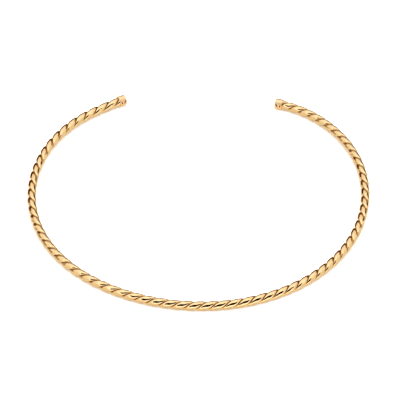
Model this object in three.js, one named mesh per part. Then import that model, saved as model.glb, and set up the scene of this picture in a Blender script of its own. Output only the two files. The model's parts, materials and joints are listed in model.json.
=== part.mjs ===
// Gold torc: a rigid, open neck ring twisted from two heavy wires, with a plain cap closing each end.
// Millimetres, +Z up. It lies flat on the plane z = 0 with its front towards -Y and its open side
// towards +Y, and the origin is on that plane, under the middle of its bounding box.

import * as THREE from "three";

// Plan of the rope's centreline: radius from the ring's centre at an angle counted from the front,
// positive to the right, as a mean and a few waves round the ring.
const MEAN_RADIUS = 59.43;
const WIDER_ACROSS = -2.74; // cos 2a: the ring is wider across than from front to back
const PULLED_BACK = 0.94; // cos 3a: the two ends stand out behind and the front is full
const FLATTENED_FRONT = -0.56; // cos 4a: the front is a little flatter than an oval
const FULL_SHOULDERS = 0.2; // cos 5a
const UNEVEN_THREE = 0.15; // sin 3a: hand bending has left the two sides slightly different
const UNEVEN_FOUR = 0.14; // sin 4a
const ENDS_FROM = 2.4; // radians from the front, where each end begins to leave that line
const LEFT_SPRING = 20; // the left end springs outwards, by this times the square of the radians past it
const RIGHT_SPRING = -12; // the right end is bent in
const LEFT_ARM = 159.2; // along the centreline, from the middle of the front to the cap's end face
const RIGHT_ARM = 157.5;
const ENDS_BEHIND = 51; // how far behind the ring's centre the caps lie

// The rope: two flattened wires lying against each other and twisted to the left.
const ROPE_RADIUS = 1.68; // out to the crest of a wire
const WIRE_HALF_WIDTH = 1.36;
const WIRE_WIDEST = 0.52; // how far from the rope's axis a wire is widest
const WIRE_CLEARANCE = 0.12; // from the rope's axis to each wire, so half the gap between the two
const LAY = 9.0; // length of one full turn at the front
const START_TURNS = 0.295; // how far the first wire has turned from facing outwards at the front
// A long twist is never quite even. These extra turns grow from the front along each arm, as the first
// to fourth powers of the distance counted in hundreds of mm, and come and go in waves round the ring.
const LAY_GROWTH = [-0.0143, 0.162, 0.0134, 0.0407];
const SWAY_TWO = -0.0067; // cos 2a, with a counted along the rope in mean radii
const SWAY_TWO_ASIDE = -0.0135; // sin 2a
const SWAY_FIVE = 0.0114; // cos 5a
const SWAY_FIVE_ASIDE = 0.0093; // sin 5a
const WIRE_SIDES = 8;
const WIRE_STEPS = 280;

// The caps: shallow cups with a flat end, slipped over the rope's ends.
const CAP_RADIUS = 2.0;
const CAP_LENGTH = 2.8;
const CAP_BORE_RADIUS = 1.8;
const CAP_END_THICKNESS = 0.6;
const CAP_EDGE_RADIUS = 0.25; // rounding of the edge round the flat end
const CAP_RIM_RADIUS = 0.1; // rounding of the rim where the rope goes in
const CAP_SIDES = 24;
const CAP_ROPE_GAP = 0.3; // between the rope's end and the floor of the cup

const UP = new THREE.Vector3(0, 0, 1);

// The rope's centreline. Its height rises very slightly from the front to the ends, so that the
// crests of the thinner rope and the undersides of the thicker caps rest on one plane.
class RopeLine extends THREE.Curve {
  getPoint(t, target = new THREE.Vector3()) {
    const angle = THREE.MathUtils.lerp(-Math.PI, Math.PI, t);
    const radius = planRadius(angle);
    const y = -radius * Math.cos(angle);
    const back = (y + planRadius(0)) / (ENDS_BEHIND + planRadius(0));
    return target.set(radius * Math.sin(angle), y, THREE.MathUtils.lerp(ROPE_RADIUS, CAP_RADIUS, back));
  }
}

function planRadius(angle) {
  const pastLeft = Math.max(0, -angle - ENDS_FROM);
  const pastRight = Math.max(0, angle - ENDS_FROM);
  return (
    MEAN_RADIUS +
    WIDER_ACROSS * Math.cos(2 * angle) +
    PULLED_BACK * Math.cos(3 * angle) +
    FLATTENED_FRONT * Math.cos(4 * angle) +
    FULL_SHOULDERS * Math.cos(5 * angle) +
    UNEVEN_THREE * Math.sin(3 * angle) +
    UNEVEN_FOUR * Math.sin(4 * angle) +
    LEFT_SPRING * pastLeft ** 2 +
    RIGHT_SPRING * pastRight ** 2
  );
}

const LINE_DIVISIONS = 2400;
const ropeLine = new RopeLine();
ropeLine.arcLengthDivisions = LINE_DIVISIONS;
const fullLength = ropeLine.getLength();
const lengthToFront = ropeLine.getLengths()[LINE_DIVISIONS / 2];

// Place on the centreline at a distance along it from the middle of the front (left is negative):
// the point, the direction along the rope, and the direction outwards from the ring.
function placeOnRope(distance) {
  const u = (lengthToFront + distance) / fullLength;
  const along = ropeLine.getTangentAt(u);
  return { point: ropeLine.getPointAt(u), along, outwards: along.clone().cross(UP).normalize() };
}

function turnsAt(distance) {
  const growth = LAY_GROWTH.reduce((sum, size, i) => sum + size * (distance / 100) ** (i + 1), 0);
  const a = distance / MEAN_RADIUS;
  return (
    START_TURNS +
    distance / LAY +
    growth +
    SWAY_TWO * Math.cos(2 * a) +
    SWAY_TWO_ASIDE * Math.sin(2 * a) +
    SWAY_FIVE * Math.cos(5 * a) +
    SWAY_FIVE_ASIDE * Math.sin(5 * a)
  );
}

// A wire's section beside the rope's axis, two halves of ellipses: the round outer side, and the
// flatter inner one that faces the other wire.
function wireSection() {
  const section = new THREE.Shape();
  const quarter = Math.PI / 2;
  section.absellipse(
    WIRE_WIDEST, 0, ROPE_RADIUS - WIRE_WIDEST, WIRE_HALF_WIDTH, -quarter, quarter);
  section.absellipse(
    WIRE_WIDEST, 0, WIRE_WIDEST - WIRE_CLEARANCE, WIRE_HALF_WIDTH, quarter, 3 * quarter);
  return section;
}

// One wire: a straight bar of its section, then each of its points is turned about the rope's axis by
// the lay and carried to its place on the bent centreline. The turn is negative because a left lay
// climbs from the outside of the ring over its top as it goes to the right.
function wireGeometry(halfTurns) {
  const start = -(LEFT_ARM - CAP_END_THICKNESS - CAP_ROPE_GAP);
  const end = RIGHT_ARM - CAP_END_THICKNESS - CAP_ROPE_GAP;
  const geometry = new THREE.ExtrudeGeometry(wireSection(), {
    depth: end - start,
    steps: WIRE_STEPS,
    curveSegments: WIRE_SIDES / 4,
    bevelEnabled: false,
  });

  const position = geometry.getAttribute("position");
  const vertex = new THREE.Vector3();
  for (let i = 0; i < position.count; i++) {
    vertex.fromBufferAttribute(position, i);
    const { point, along, outwards } = placeOnRope(start + vertex.z);
    const under = along.clone().cross(outwards);
    const turn = -2 * Math.PI * (turnsAt(start + vertex.z) + halfTurns / 2);
    const out = vertex.x * Math.cos(turn) - vertex.y * Math.sin(turn);
    const down = vertex.x * Math.sin(turn) + vertex.y * Math.cos(turn);
    point.addScaledVector(outwards, out).addScaledVector(under, down);
    position.setXYZ(i, point.x, point.y, point.z);
  }
  geometry.computeVertexNormals();
  return geometry;
}

// One cap: a lathed cup. Its axis is the lathe's own, from the open rim at 0 to the flat end.
function capGeometry() {
  const profile = new THREE.Path();
  profile.moveTo(0, CAP_LENGTH - CAP_END_THICKNESS);
  profile.lineTo(CAP_BORE_RADIUS, CAP_LENGTH - CAP_END_THICKNESS);
  profile.lineTo(CAP_BORE_RADIUS, 0);
  profile.lineTo(CAP_RADIUS - CAP_RIM_RADIUS, 0);
  profile.absarc(CAP_RADIUS - CAP_RIM_RADIUS, CAP_RIM_RADIUS, CAP_RIM_RADIUS, -Math.PI / 2, 0);
  profile.absarc(
    CAP_RADIUS - CAP_EDGE_RADIUS, CAP_LENGTH - CAP_EDGE_RADIUS, CAP_EDGE_RADIUS, 0, Math.PI / 2);
  profile.lineTo(0, CAP_LENGTH);
  return new THREE.LatheGeometry(profile.getPoints(1), CAP_SIDES);
}

function goldMesh(name, geometry) {
  const material = new THREE.MeshStandardMaterial({ color: 0xecc48a, roughness: 0.12, metalness: 1 });
  const mesh = new THREE.Mesh(geometry, material);
  mesh.name = name;
  return mesh;
}

// A cap in its place: distance is where its flat end lies, and side is -1 on the left and 1 on the right.
function capMesh(name, distance, side) {
  const { point, along } = placeOnRope(distance);
  const outOfEnd = along.multiplyScalar(side);
  const mesh = goldMesh(name, capGeometry());
  mesh.quaternion.setFromUnitVectors(new THREE.Vector3(0, 1, 0), outOfEnd);
  mesh.position.copy(point).addScaledVector(outOfEnd, -CAP_LENGTH);
  return mesh;
}

const torc = new THREE.Group();
torc.add(
  goldMesh("wire_strand_1", wireGeometry(0)),
  goldMesh("wire_strand_2", wireGeometry(1)),
  capMesh("end_cap_left", -LEFT_ARM, -1),
  capMesh("end_cap_right", RIGHT_ARM, 1),
);

// Brings the middle of the underside to the origin.
const box = new THREE.Box3().setFromObject(torc, true);
const middle = box.getCenter(new THREE.Vector3());
torc.position.set(-middle.x, -middle.y, -box.min.z);

export default torc;
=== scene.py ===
# Gold torc: an open neck ring laid up from two heavy gold-plated wires, with a turned cap on each end.
# Metres, in the CAD frame: +Z up, front towards -Y, the open side towards +Y.

import json
import math

import bmesh
import bpy
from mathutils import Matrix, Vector


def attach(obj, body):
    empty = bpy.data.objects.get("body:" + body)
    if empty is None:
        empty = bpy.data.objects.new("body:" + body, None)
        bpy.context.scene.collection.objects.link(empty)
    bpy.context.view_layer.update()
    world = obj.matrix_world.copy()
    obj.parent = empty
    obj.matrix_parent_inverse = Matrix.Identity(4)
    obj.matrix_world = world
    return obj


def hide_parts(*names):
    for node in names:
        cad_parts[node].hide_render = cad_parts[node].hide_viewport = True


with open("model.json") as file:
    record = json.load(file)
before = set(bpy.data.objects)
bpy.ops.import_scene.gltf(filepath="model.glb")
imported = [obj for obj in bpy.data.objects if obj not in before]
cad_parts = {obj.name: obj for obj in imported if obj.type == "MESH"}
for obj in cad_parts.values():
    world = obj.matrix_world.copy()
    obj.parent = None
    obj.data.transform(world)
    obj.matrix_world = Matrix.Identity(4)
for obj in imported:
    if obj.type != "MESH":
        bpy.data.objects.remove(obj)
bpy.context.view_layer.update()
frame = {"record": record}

MM = 0.001

# The ring's plan: the rope's centreline, as a radius at an angle counted from the front, positive to
# the right. It is a mean and a few waves round the ring, which the two ends leave at the back. These
# sizes, and those of the uneven lay below, are fitted values.
MEAN_RADIUS = 59.43 * MM
PLAN_WAVES = {
    "Wider Across": ("COSINE", 2, -2.74 * MM),
    "Pulled Back": ("COSINE", 3, 0.94 * MM),
    "Flattened Front": ("COSINE", 4, -0.56 * MM),
    "Full Shoulders": ("COSINE", 5, 0.20 * MM),
    "Uneven Three": ("SINE", 3, 0.15 * MM),
    "Uneven Four": ("SINE", 4, 0.14 * MM),
}
ENDS_FROM = 2.4  # radians from the front
END_SPRINGS = {"Left Spring": (-1, 20 * MM), "Right Spring": (1, -12 * MM)}
LEFT_ARM = 159.2 * MM  # along the centreline, from the middle of the front to the cap's end face
RIGHT_ARM = 157.5 * MM

# The rope: two flattened wires laid to the left.
ROPE_RADIUS = 1.68 * MM
WIRE_HALF_WIDTH = 1.36 * MM
WIRE_WIDEST = 0.52 * MM  # how far from the rope's axis a wire is widest
OUTER_FULLNESS = 2.05  # exponent of the section's outline beyond that: 2 is an ellipse, more is squarer
INNER_FULLNESS = 2.8  # the same on the side where the wires press on each other
WIRE_CLEARANCE = 0.01 * MM  # between the two wires
LAY = 9.0 * MM  # length of one turn at the front
START_TURNS = 0.295
# A long twist is never quite even. These extra turns grow from the front along each arm, as powers of
# the distance counted in hundreds of mm, and come and go in small waves round the ring.
LAY_GROWTH = {
    "Growth One": -0.0143,
    "Growth Two": 0.162,
    "Growth Three": 0.0134,
    "Growth Four": 0.0407,
}
LAY_WAVES = {
    "Sway Two": ("COSINE", 2, -0.0067),
    "Sway Two Aside": ("SINE", 2, -0.0135),
    "Sway Five": ("COSINE", 5, 0.0114),
    "Sway Five Aside": ("SINE", 5, 0.0093),
}
LINE_POINTS = 2001  # round the full turn of the centreline that the wires are cut from
WIRE_SIDES = 40
WIRE_STEPS = 1000

# The caps.
CAP_RADIUS = 2.0 * MM
CAP_LENGTH = 2.8 * MM
CAP_BORE_RADIUS = 1.74 * MM
CAP_SOCKET_DEPTH = 0.16 * MM  # down to the solder that the rope stands in
CAP_EDGE_RADIUS = 0.24 * MM
CAP_RIM_RADIUS = 0.11 * MM
CAP_SIDES = 144
ROPE_IN_SOLDER = 0.3 * MM  # how far the rope's ends stand in it


def linear(hex_colour):
    """An sRGB hex colour as linear red, green, blue and alpha."""
    channels = [int(hex_colour[i : i + 2], 16) / 255 for i in (1, 3, 5)]
    return [c / 12.92 if c <= 0.04045 else ((c + 0.055) / 1.055) ** 2.4 for c in channels] + [1.0]


def add_node(tree, kind, settings=None, inputs=None):
    """Adds a node, sets its properties, and fills its inputs, each with a value or a node's socket."""
    node = tree.nodes.new(kind)
    for name, value in (settings or {}).items():
        setattr(node, name, value)
    for name, value in (inputs or {}).items():
        if isinstance(value, bpy.types.NodeSocket):
            tree.links.new(value, node.inputs[name])
        else:
            node.inputs[name].default_value = value
    return node


def maths(tree, operation, *values):
    """The result of one arithmetic node."""
    node = add_node(tree, "ShaderNodeMath", {"operation": operation}, dict(enumerate(values)))
    return node.outputs[0]


def total(tree, terms):
    """The sum of several sockets."""
    result = terms[0]
    for term in terms[1:]:
        result = maths(tree, "ADD", result, term)
    return result


def waves(tree, angle, table, given):
    """One socket for each wave of a table, sized by the tree's input of the same name."""
    sockets = []
    for name, (kind, order, size) in table.items():
        wave = maths(tree, kind, maths(tree, "MULTIPLY", angle, float(order)))
        sockets.append(maths(tree, "MULTIPLY", wave, given[name]))
    return sockets


# ---------------------------------------------------------------- the ring's line

def plan_radius(angle):
    """Distance from the ring's centre to the rope's centreline."""
    curves = {"COSINE": math.cos, "SINE": math.sin}
    waved = sum(size * curves[kind](order * angle) for kind, order, size in PLAN_WAVES.values())
    sprung = sum(size * max(0.0, side * angle - ENDS_FROM) ** 2 for side, size in END_SPRINGS.values())
    return MEAN_RADIUS + waved + sprung


def plan_point(angle):
    """The centreline's place in plan, from the ring's centre."""
    radius = plan_radius(angle)
    return Vector((radius * math.sin(angle), -radius * math.cos(angle), 0.0))


def plan_point_at(distance):
    """The centreline's place in plan at a distance along it from the front."""
    step = math.radians(0.02)
    angle = 0.0
    gone = 0.0
    here = plan_point(angle)
    while gone < distance:
        angle += step
        there = plan_point(angle)
        gone += (there - here).length
        here = there
    return here


mounts = {mount["name"]: mount for mount in frame["record"]["mounts"]}
right_end = Vector(mounts["right_end_face"]["pos_m"])
ring_centre = right_end - plan_point_at(RIGHT_ARM)
ring_centre.z = 0.0
front_reach = plan_radius(0.0)
height_gain = (CAP_RADIUS - ROPE_RADIUS) / (right_end.y - ring_centre.y + front_reach)


# ---------------------------------------------------------------- the wires

def laid_wire_tree():
    """Geometry Nodes tree of one wire: a bar of its section swept along the ring's centreline and
    turned by the lay on the way."""
    tree = bpy.data.node_groups.new("laid_wire", "GeometryNodeTree")
    tree.interface.new_socket("Geometry", in_out="OUTPUT", socket_type="NodeSocketGeometry")
    sizes = {
        "Mean Radius": MEAN_RADIUS, "Ends From": ENDS_FROM, "Left Arm": LEFT_ARM, "Right Arm": RIGHT_ARM,
        "Front Height": ROPE_RADIUS, "Height Gain": height_gain, "Lay": LAY,
        "Start Turns": START_TURNS, "Rope Radius": ROPE_RADIUS,
        "Clearance": WIRE_CLEARANCE, "Half Width": WIRE_HALF_WIDTH, "Widest": WIRE_WIDEST,
        "Outer Fullness": OUTER_FULLNESS, "Inner Fullness": INNER_FULLNESS,
    }
    sizes.update(LAY_GROWTH)
    sizes.update({name: size for name, (kind, order, size) in (PLAN_WAVES | LAY_WAVES).items()})
    sizes.update({name: size for name, (side, size) in END_SPRINGS.items()})
    counts = {"Sides": WIRE_SIDES, "Steps": WIRE_STEPS}
    for values, kind in ((sizes, "NodeSocketFloat"), (counts, "NodeSocketInt")):
        for name, value in values.items():
            socket = tree.interface.new_socket(name, in_out="INPUT", socket_type=kind)
            socket.default_value = value
    tree.interface.new_socket("Ring Centre", in_out="INPUT", socket_type="NodeSocketVector")
    tree.interface.new_socket("Finish", in_out="INPUT", socket_type="NodeSocketMaterial")
    given = tree.nodes.new("NodeGroupInput").outputs

    # A full turn of the centreline, by its angle from the front.
    line = add_node(tree, "GeometryNodeMeshLine", {"mode": "OFFSET"}, {"Count": LINE_POINTS})
    line = add_node(tree, "GeometryNodeMeshToCurve", None, {"Mesh": line.outputs[0]}).outputs[0]
    index = tree.nodes.new("GeometryNodeInputIndex").outputs[0]
    share = maths(tree, "SUBTRACT", maths(tree, "DIVIDE", index, float(LINE_POINTS - 1)), 0.5)
    angle = maths(tree, "MULTIPLY", share, 2 * math.pi)
    terms = [given["Mean Radius"]] + waves(tree, angle, PLAN_WAVES, given)
    for name, (side, size) in END_SPRINGS.items():
        past = maths(tree, "SUBTRACT", maths(tree, "MULTIPLY", angle, float(side)), given["Ends From"])
        bend = maths(tree, "POWER", maths(tree, "MAXIMUM", past, 0.0), 2.0)
        terms.append(maths(tree, "MULTIPLY", bend, given[name]))
    radius = total(tree, terms)
    x = maths(tree, "MULTIPLY", radius, maths(tree, "SINE", angle))
    forward = maths(tree, "MULTIPLY", radius, maths(tree, "COSINE", angle))
    y = maths(tree, "MULTIPLY", forward, -1.0)
    behind_front = maths(tree, "ADD", y, front_reach)
    z = maths(tree, "MULTIPLY_ADD", behind_front, given["Height Gain"], given["Front Height"])
    place = add_node(tree, "ShaderNodeCombineXYZ", None, {0: x, 1: y, 2: z}).outputs[0]
    place = add_node(
        tree, "ShaderNodeVectorMath", {"operation": "ADD"},
        {0: place, 1: given["Ring Centre"]}).outputs[0]
    line = add_node(
        tree, "GeometryNodeSetPosition", None, {"Geometry": line, "Position": place}).outputs[0]

    # Cut to the two arms' lengths, and spaced evenly along them.
    length_here = tree.nodes.new("GeometryNodeSplineParameter").outputs["Length"]
    to_front = add_node(
        tree, "GeometryNodeSampleIndex", {"data_type": "FLOAT", "domain": "POINT"},
        {"Geometry": line, "Value": length_here, "Index": (LINE_POINTS - 1) // 2}).outputs[0]
    cut_from = maths(tree, "SUBTRACT", to_front, given["Left Arm"])
    cut_to = maths(tree, "ADD", to_front, given["Right Arm"])
    line = add_node(
        tree, "GeometryNodeTrimCurve", {"mode": "LENGTH"},
        {"Curve": line, 4: cut_from, 5: cut_to}).outputs[0]
    line = add_node(
        tree, "GeometryNodeResampleCurve", {"mode": "COUNT"},
        {"Curve": line, "Count": given["Steps"]}).outputs[0]

    # The lay: turns counted from the front, a little uneven along the arms.
    along = tree.nodes.new("GeometryNodeSplineParameter").outputs["Length"]
    distance = maths(tree, "SUBTRACT", along, given["Left Arm"])
    terms = [given["Start Turns"], maths(tree, "DIVIDE", distance, given["Lay"])]
    hundreds = maths(tree, "DIVIDE", distance, 100 * MM)
    for power, name in enumerate(LAY_GROWTH, 1):
        raised = maths(tree, "POWER", hundreds, float(power))
        terms.append(maths(tree, "MULTIPLY", raised, given[name]))
    terms += waves(tree, maths(tree, "DIVIDE", distance, given["Mean Radius"]), LAY_WAVES, given)
    turns = total(tree, terms)
    line = add_node(
        tree, "GeometryNodeStoreNamedAttribute", {"data_type": "FLOAT", "domain": "POINT"},
        {"Geometry": line, "Name": "along", "Value": along}).outputs[0]
    line = add_node(tree, "GeometryNodeSetCurveNormal", {"mode": "Z_UP"}, {"Curve": line}).outputs[0]
    tilt = maths(tree, "MULTIPLY", turns, -2 * math.pi)
    line = add_node(tree, "GeometryNodeSetCurveTilt", None, {"Curve": line, "Tilt": tilt}).outputs[0]

    # The wire's section, two halves of squared ellipses: a round outer side, and a fuller inner one
    # where it is pressed on the other wire.
    ring = add_node(
        tree, "GeometryNodeCurvePrimitiveCircle", {"mode": "RADIUS"},
        {"Resolution": given["Sides"], "Radius": 1.0}).outputs[0]
    here = tree.nodes.new("GeometryNodeInputPosition").outputs[0]
    point = add_node(tree, "ShaderNodeSeparateXYZ", None, {0: here}).outputs
    outer = maths(tree, "GREATER_THAN", point[1], 0.0)

    def either(inner_value, outer_value):
        return add_node(
            tree, "ShaderNodeMix", {"data_type": "FLOAT"},
            {"Factor": outer, 2: inner_value, 3: outer_value}).outputs[0]

    power = maths(tree, "DIVIDE", 2.0, either(given["Inner Fullness"], given["Outer Fullness"]))
    outer_depth = maths(tree, "SUBTRACT", given["Rope Radius"], given["Widest"])
    inner_depth = maths(tree, "SUBTRACT", given["Widest"], given["Clearance"])
    stretched = []
    for value, half in ((point[0], given["Half Width"]), (point[1], either(inner_depth, outer_depth))):
        size = maths(tree, "POWER", maths(tree, "ABSOLUTE", value), power)
        signed = maths(tree, "MULTIPLY", size, maths(tree, "SIGN", value))
        stretched.append(maths(tree, "MULTIPLY", signed, half))
    section = add_node(
        tree, "ShaderNodeCombineXYZ", None,
        {0: maths(tree, "ADD", stretched[1], given["Widest"]),
         1: maths(tree, "MULTIPLY", stretched[0], -1.0), 2: 0.0}).outputs[0]
    ring = add_node(
        tree, "GeometryNodeStoreNamedAttribute", {"data_type": "FLOAT_VECTOR", "domain": "POINT"},
        {"Geometry": ring, "Name": "section", "Value": section}).outputs[0]
    ring = add_node(
        tree, "GeometryNodeSetPosition", None, {"Geometry": ring, "Position": section}).outputs[0]

    wire = add_node(
        tree, "GeometryNodeCurveToMesh", None,
        {"Curve": line, "Profile Curve": ring, "Fill Caps": True}).outputs[0]
    wire = add_node(
        tree, "GeometryNodeSetShadeSmooth", None, {"Geometry": wire, "Shade Smooth": True}).outputs[0]
    wire = add_node(tree, "GeometryNodeRealizeInstances", None, {"Geometry": wire}).outputs[0]
    wire = add_node(
        tree, "GeometryNodeSetMaterial", None, {"Geometry": wire, "Material": given["Finish"]}).outputs[0]
    output = tree.nodes.new("NodeGroupOutput")
    tree.links.new(wire, output.inputs[0])
    return tree


def grown(name, tree, values):
    """A plain mesh object made by a Geometry Nodes tree with these named inputs."""
    holder = bpy.data.objects.new(name + "_holder", bpy.data.meshes.new(name + "_holder"))
    bpy.context.collection.objects.link(holder)
    modifier = holder.modifiers.new("grow", "NODES")
    modifier.node_group = tree
    sockets = tree.interface.items_tree
    for key, value in values.items():
        modifier[sockets[key].identifier] = value
    evaluated = holder.evaluated_get(bpy.context.evaluated_depsgraph_get())
    mesh = bpy.data.meshes.new_from_object(evaluated)
    mesh.name = name
    holder.modifiers.clear()
    bpy.data.objects.remove(holder)
    piece = bpy.data.objects.new(name, mesh)
    bpy.context.collection.objects.link(piece)
    return piece


# ---------------------------------------------------------------- the finishes

GOLD = "#f2d29d"  # pale yellow gold, seen straight on
WORN_GOLD = "#ecca93"
SATIN_GOLD = "#fbdbaa"  # paler, as satin plating is
WORN_SATIN_GOLD = "#f6d4a2"
GROOVE_SHADE_GOLD = "#b9692f"  # painted shade: redder and darker in the groove between the wires, which the wheel doesn't reach
MARK_SHADE_GOLD = "#8a2804"  # painted shade: dark red-brown at the bottom of a struck mark, as gold seen in gold


def metal(name):
    """A new material with a fully metallic shader, and its tree and shader."""
    material = bpy.data.materials.new(name)
    material.use_nodes = True
    tree = material.node_tree
    shader = tree.nodes["Principled BSDF"]
    shader.inputs["Metallic"].default_value = 1.0
    return material, tree, shader


def plated_wire():
    """Drawn brass wire, gold plated and given a mirror polish after it was twisted: near-white
    highlights, faint draw lines that run with each wire, and duller grooves that the wheel can't reach,
    painted redder and darker there as shade between the wires."""
    material, tree, shader = metal("polished_gold_plated_wire")

    # The wire's own straight space: across and through its section, and along its length.
    section = add_node(tree, "ShaderNodeAttribute", {"attribute_name": "section"}).outputs["Vector"]
    along = add_node(tree, "ShaderNodeAttribute", {"attribute_name": "along"}).outputs["Fac"]
    across = add_node(tree, "ShaderNodeSeparateXYZ", None, {0: section}).outputs
    straight = add_node(
        tree, "ShaderNodeCombineXYZ", None, {0: across[0], 1: across[1], 2: along}).outputs[0]
    reach = add_node(tree, "ShaderNodeVectorMath", {"operation": "LENGTH"}, {0: section}).outputs["Value"]

    # 0 in the groove between the wires, left rougher and painted redder and darker there as shade; 1
    # where the wheel's polish reaches.
    polish_and_groove_shade = add_node(
        tree, "ShaderNodeMapRange", {"interpolation_type": "SMOOTHSTEP"},
        {"Value": reach, "From Min": 0.50 * ROPE_RADIUS, "From Max": 0.72 * ROPE_RADIUS}).outputs[0]

    # Draw lines: 0.3 mm apart round the wire and some 6 mm long, coarser than real ones so as to show.
    stretch = add_node(
        tree, "ShaderNodeVectorMath", {"operation": "MULTIPLY"},
        {0: straight, 1: (1.0, 1.0, 0.05)}).outputs[0]
    lines = add_node(
        tree, "ShaderNodeTexNoise", None,
        {"Vector": stretch, "Scale": 1 / (0.3 * MM), "Detail": 2.0, "Roughness": 0.5}).outputs["Fac"]
    # The soft unevenness that twisting leaves, about 1.5 mm across.
    swell = add_node(
        tree, "ShaderNodeTexNoise", None,
        {"Vector": straight, "Scale": 1 / (1.5 * MM), "Detail": 1.0}).outputs["Fac"]

    colour = add_node(
        tree, "ShaderNodeMix", {"data_type": "RGBA"},
        {"Factor": swell, 6: linear(GOLD), 7: linear(WORN_GOLD)}).outputs[2]
    # Painted shade: the groove between the wires is coloured redder and darker than the crests.
    colour = add_node(
        tree, "ShaderNodeMix", {"data_type": "RGBA"},
        {"Factor": polish_and_groove_shade, 6: linear(GROOVE_SHADE_GOLD), 7: colour}).outputs[2]
    tree.links.new(colour, shader.inputs["Base Color"])

    rough = maths(tree, "MULTIPLY_ADD", lines, 0.03, 0.01)
    rough = add_node(
        tree, "ShaderNodeMix", {"data_type": "FLOAT"}, {"Factor": polish_and_groove_shade, 2: 0.18, 3: rough}).outputs[0]
    tree.links.new(rough, shader.inputs["Roughness"])

    relief = add_node(
        tree, "ShaderNodeBump", None, {"Strength": 1.0, "Distance": 3e-6, "Height": swell}).outputs[0]
    relief = add_node(
        tree, "ShaderNodeBump", None,
        {"Strength": 1.0, "Distance": 0.6e-6, "Height": lines, "Normal": relief}).outputs[0]
    tree.links.new(relief, shader.inputs["Normal"])
    return material


def plated_cap():
    """Turned brass, gold plated and left satin: even and creamy, with faint turning marks round it and
    a struck mark whose hollow is painted dark reddish as shade."""
    material, tree, shader = metal("satin_gold_plated_cap")
    place = add_node(tree, "ShaderNodeTexCoord").outputs["Object"]
    swell = add_node(
        tree, "ShaderNodeTexNoise", None,
        {"Vector": place, "Scale": 1 / (1.2 * MM), "Detail": 1.0}).outputs["Fac"]
    turned = add_node(tree, "ShaderNodeAttribute", {"attribute_name": "turned"}).outputs["Fac"]
    marks = add_node(
        tree, "ShaderNodeTexNoise", {"noise_dimensions": "1D"},
        {"W": turned, "Scale": 1 / (0.15 * MM), "Detail": 2.0}).outputs["Fac"]
    colour = add_node(
        tree, "ShaderNodeMix", {"data_type": "RGBA"},
        {"Factor": swell, 6: linear(SATIN_GOLD), 7: linear(WORN_SATIN_GOLD)}).outputs[2]
    # Painted shade: the struck mark is coloured dark red-brown, deepest at its bottom.
    mark_shade = add_node(tree, "ShaderNodeAttribute", {"attribute_name": "mark"}).outputs["Fac"]
    mark_shade = add_node(
        tree, "ShaderNodeMapRange", None,
        {"Value": mark_shade, "From Min": 0.0, "From Max": 0.7}).outputs[0]
    colour = add_node(
        tree, "ShaderNodeMix", {"data_type": "RGBA"},
        {"Factor": mark_shade, 6: colour, 7: linear(MARK_SHADE_GOLD)}).outputs[2]
    tree.links.new(colour, shader.inputs["Base Color"])
    tree.links.new(maths(tree, "MULTIPLY_ADD", marks, 0.10, 0.45), shader.inputs["Roughness"])
    relief = add_node(
        tree, "ShaderNodeBump", None, {"Strength": 1.0, "Distance": 8e-6, "Height": swell}).outputs[0]
    relief = add_node(
        tree, "ShaderNodeBump", None,
        {"Strength": 1.0, "Distance": 1e-6, "Height": marks, "Normal": relief}).outputs[0]
    tree.links.new(relief, shader.inputs["Normal"])
    return material


wire_finish = plated_wire()
cap_finish = plated_cap()


# ---------------------------------------------------------------- the caps

# A plain struck mark on the front of each cap: two short strokes that lean towards each other, given
# by distance from the flat end in mm and degrees down from the top.
MARK_STROKES = [((0.62, 63), (1.12, 82)), ((2.18, 69), (2.02, 82))]
MARK_WIDTH = 0.80 * MM
MARK_DEPTH = 0.20 * MM


def arc(centre, radius, start, end, steps):
    """Points on an arc in the profile's plane, angles in degrees."""
    turns = [math.radians(start + (end - start) * step / steps) for step in range(steps + 1)]
    return [(centre[0] + radius * math.cos(a), centre[1] + radius * math.sin(a)) for a in turns]


def cap_profile():
    """Radius and distance from the flat end, from the middle of the end face to the socket's floor."""
    points = [(0.0, 0.0)]
    points += [(CAP_RADIUS * share, 0.0) for share in (0.3, 0.6, 0.8)]
    points += arc((CAP_RADIUS - CAP_EDGE_RADIUS, CAP_EDGE_RADIUS), CAP_EDGE_RADIUS, -90, 0, 8)
    barrel = CAP_LENGTH - CAP_EDGE_RADIUS - CAP_RIM_RADIUS
    rows = 36
    points += [(CAP_RADIUS, CAP_EDGE_RADIUS + barrel * row / rows) for row in range(1, rows)]
    rim = (CAP_RADIUS - CAP_RIM_RADIUS, CAP_LENGTH - CAP_RIM_RADIUS)
    points += arc(rim, CAP_RIM_RADIUS, 0, 180, 10)
    points += [(CAP_BORE_RADIUS, CAP_LENGTH - CAP_SOCKET_DEPTH * share) for share in (0.4, 0.8, 1.0)]
    points += [(CAP_BORE_RADIUS * share, CAP_LENGTH - CAP_SOCKET_DEPTH) for share in (0.9, 0.5, 0.0)]
    return points


def struck(depth, degrees):
    """How deep the mark is at a place on the barrel, from 0 to 1. Degrees run from the top down the
    front, and the back half of the barrel is bare."""
    if degrees % 360 > 180:
        return 0.0
    here = Vector((depth, math.radians(degrees % 360) * CAP_RADIUS))
    nearest = 1.0
    for stroke in MARK_STROKES:
        start, end = [Vector((far * MM, math.radians(down) * CAP_RADIUS)) for far, down in stroke]
        share = min(1.0, max(0.0, (here - start).dot(end - start) / (end - start).length_squared))
        nearest = min(nearest, (here - start.lerp(end, share)).length / (MARK_WIDTH / 2))
    return (1.0 - nearest ** 2) ** 2


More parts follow.
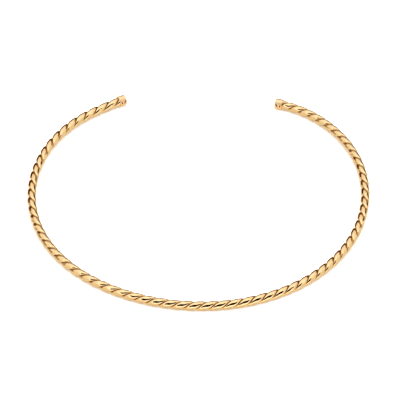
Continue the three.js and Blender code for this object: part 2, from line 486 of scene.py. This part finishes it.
def turned_cap(name, mount):
    """A cap spun from its profile and laid against its mount, open end towards the rope."""
    end_face = Vector(mount["pos_m"])
    out = Vector(mount["axis"]).normalized()
    up = Vector((0, 0, 1)).cross(out).cross(out).normalized() * -1
    side = out.cross(up)
    to_front = -1 if side.y > 0 else 1  # which way round the barrel the front is
    mesh = bmesh.new()
    turned = mesh.verts.layers.float.new("turned")
    mark = mesh.verts.layers.float.new("mark")
    rings = []
    for radius, depth in cap_profile():
        ring = []
        for step in range(CAP_SIDES if radius else 1):
            a = 2 * math.pi * step / CAP_SIDES
            pressed = struck(depth, math.degrees(a) * to_front) if radius == CAP_RADIUS else 0.0
            outwards = up * math.cos(a) + side * math.sin(a)
            vertex = mesh.verts.new(end_face - out * depth + outwards * (radius - MARK_DEPTH * pressed))
            vertex[turned] = depth + radius
            vertex[mark] = pressed
            ring.append(vertex)
        rings.append(ring)
    for first, second in zip(rings, rings[1:]):
        for step in range(CAP_SIDES):
            around = step + 1
            corners = [first[step % len(first)], first[around % len(first)],
                       second[around % len(second)], second[step % len(second)]]
            mesh.faces.new(list(dict.fromkeys(corners))).smooth = True
    bmesh.ops.recalc_face_normals(mesh, faces=mesh.faces)
    data = bpy.data.meshes.new(name)
    mesh.to_mesh(data)
    mesh.free()
    data.materials.append(cap_finish)
    piece = bpy.data.objects.new(name, data)
    bpy.context.collection.objects.link(piece)
    return piece


# ---------------------------------------------------------------- the pieces

wire_tree = laid_wire_tree()
inset = CAP_LENGTH - CAP_SOCKET_DEPTH - ROPE_IN_SOLDER  # from a cap's flat end to the rope's own end
for number in (1, 2):
    wire = grown(f"wire_{number}", wire_tree, {
        "Ring Centre": ring_centre,
        "Finish": wire_finish,
        "Start Turns": START_TURNS + (number - 1) / 2,
        "Left Arm": LEFT_ARM - inset,
        "Right Arm": RIGHT_ARM - inset,
    })
    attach(wire, "root")
    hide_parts(f"wire_strand_{number}")

for side in ("left", "right"):
    cap = turned_cap(f"cap_{side}", mounts[f"{side}_end_face"])
    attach(cap, "root")
    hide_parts(f"end_cap_{side}")


# ---------------------------------------------------------------- the studio

def sheet(name, corners, material):
    """A flat sheet that belongs to the studio."""
    mesh = bpy.data.meshes.new(name)
    mesh.from_pydata(corners, [], [(0, 1, 2, 3)])
    mesh.materials.append(material)
    obj = bpy.data.objects.new(name, mesh)
    bpy.context.collection.objects.link(obj)
    return obj


def white_paper():
    """Matt white paper: even and pale."""
    material = bpy.data.materials.new("white_paper")
    material.use_nodes = True
    tree = material.node_tree
    shader = tree.nodes["Principled BSDF"]
    shader.inputs["Base Color"].default_value = linear("#fbf9f7")
    shader.inputs["Roughness"].default_value = 0.9
    shader.inputs["Specular IOR Level"].default_value = 0.0
    return material


FLOOR_HALF = 4.0
floor_corners = [
    (-FLOOR_HALF, -FLOOR_HALF, 0), (FLOOR_HALF, -FLOOR_HALF, 0),
    (FLOOR_HALF, FLOOR_HALF, 0), (-FLOOR_HALF, FLOOR_HALF, 0)]
floor = sheet("floor", floor_corners, white_paper())
floor.visible_glossy = False

world = bpy.data.worlds.new("studio")
bpy.context.scene.world = world
world.use_nodes = True
sky = world.node_tree
background = sky.nodes["Background"]
direction = add_node(sky, "ShaderNodeTexCoord").outputs["Generated"]
upward = add_node(sky, "ShaderNodeSeparateXYZ", None, {0: direction}).outputs[2]
share = maths(sky, "MULTIPLY_ADD", upward, 0.5, 0.5)
ramp = add_node(sky, "ShaderNodeValToRGB", None, {0: share})
BRIGHTEST = 1.55
levels = [  # elevation in degrees, and how bright the studio is there
    (-90, (0.87, 0.72, 0.52)),
    (-60, (0.91, 0.78, 0.60)),
    (-40, (0.95, 0.86, 0.72)),
    (-20, (1.0, 0.95, 0.85)),
    (0, (0.95, 0.86, 0.72)),
    (12, (0.97, 0.92, 0.84)),
    (24, (1.04, 1.02, 0.98)),
    (50, (1.12, 1.12, 1.12)),
    (64, (1.4, 1.4, 1.42)),
    (90, (1.5, 1.5, 1.55)),
]
stops = ramp.color_ramp.elements
stops.remove(stops[1])
for number, (elevation, tone) in enumerate(levels):
    place = 0.5 + 0.5 * math.sin(math.radians(elevation))
    stop = stops[0] if number == 0 else stops.new(place)
    stop.position = place
    stop.color = [c / BRIGHTEST for c in tone] + [1.0]
sky.links.new(ramp.outputs[0], background.inputs["Color"])
background.inputs["Strength"].default_value = BRIGHTEST

bpy.context.scene.view_settings.view_transform = "Standard"


def card(name, azimuth, elevation, width, height, distance=2.0, tone=(0, 0, 0)):
    """A card seen only in reflections, square to the line from the ring in that direction, and black
    unless it has a tone. Width and height are in degrees as the ring sees them, and azimuth is counted
    from the front, positive to the right."""
    a, e = math.radians(azimuth), math.radians(elevation)
    back = Vector((math.sin(a) * math.cos(e), -math.cos(a) * math.cos(e), math.sin(e)))
    right = Vector((math.cos(a), math.sin(a), 0))
    top = back.cross(right) * -1
    half_w = distance * math.tan(math.radians(width / 2))
    half_h = distance * math.tan(math.radians(height / 2))
    centre = back * distance
    ends = ((-1, -1), (1, -1), (1, 1), (-1, 1))
    corners = [centre + right * (half_w * i) + top * (half_h * j) for i, j in ends]
    material = bpy.data.materials.new(name)
    material.use_nodes = True
    tree = material.node_tree
    tree.nodes.clear()
    glow = add_node(tree, "ShaderNodeEmission", None, {"Color": (*tone, 1), "Strength": 1.0})
    add_node(tree, "ShaderNodeOutputMaterial", None, {"Surface": glow.outputs[0]})
    obj = sheet(name, corners, material)
    obj.visible_camera = False
    obj.visible_diffuse = False
    obj.visible_shadow = False


# Two softboxes give the broad highlights. The black cards give the dark streaks, and a larger warm card
# behind each gives a streak its amber edge, as gold seen in gold does. A dark warm card stands on the
# left.
card("softbox_front", 5, 43, 96, 76, distance=2.3, tone=(1.7, 1.73, 1.8))
card("softbox_low", 15, -4, 84, 26, distance=2.4, tone=(1.6, 1.65, 1.72))
card("flag_lens", 8, 45, 77, 51)
card("flag_lens_edge", 8, 45, 83, 57, distance=2.05, tone=(0.5, 0.13, 0.015))
for number, azimuth in enumerate(range(128, 239, 20)):
    card(f"flag_back_{number}", azimuth, 9, 21, 24)
    card(f"flag_back_edge_{number}", azimuth, 9, 21, 40, distance=2.05, tone=(0.4, 0.12, 0.02))
card("flag_side", 262, 3, 28, 24, tone=(0.25, 0.07, 0.01))

CAMERA_ELEVATION = math.radians(43.8)
CAMERA_DISTANCE = 1.1065
CAMERA_AIM = Vector((0.45, -2.97, 1.8)) * MM  # from the ring's centre
CAMERA_LENS = 270  # focal length in mm, on a sensor 36 mm wide
aim = ring_centre + CAMERA_AIM
lens = bpy.data.cameras.new("camera")
lens.lens = CAMERA_LENS
lens.sensor_width = 36
camera = bpy.data.objects.new("camera", lens)
bpy.context.collection.objects.link(camera)
towards_camera = Vector((0, -math.cos(CAMERA_ELEVATION), math.sin(CAMERA_ELEVATION)))
camera.location = aim + CAMERA_DISTANCE * towards_camera
camera.rotation_mode = "QUATERNION"
camera.rotation_quaternion = (aim - camera.location).to_track_quat("-Z", "Y")
bpy.context.scene.camera = camera


def lamp(name, size, energy, place):
    """A round soft light that reflections don't show. It shines straight down until it is turned."""
    obj = bpy.data.objects.new(name, bpy.data.lights.new(name, "AREA"))
    bpy.context.collection.objects.link(obj)
    obj.data.shape = "DISK"
    obj.data.size = size
    obj.data.energy = energy
    obj.location = place
    obj.visible_glossy = False
    return obj


KEY_ELEVATION = math.radians(58)  # from behind the open side
KEY_DISTANCE = 1.2
FILL_HEIGHT = 1.6
key_direction = Vector((0, math.cos(KEY_ELEVATION), math.sin(KEY_ELEVATION)))
key = lamp("key_light", 0.6, 4.0, key_direction * KEY_DISTANCE)
key.rotation_mode = "QUATERNION"
key.rotation_quaternion = key_direction.to_track_quat("Z", "Y")
lamp("fill_light", 3.0, 40.0, (0.0, 0.0, FILL_HEIGHT))
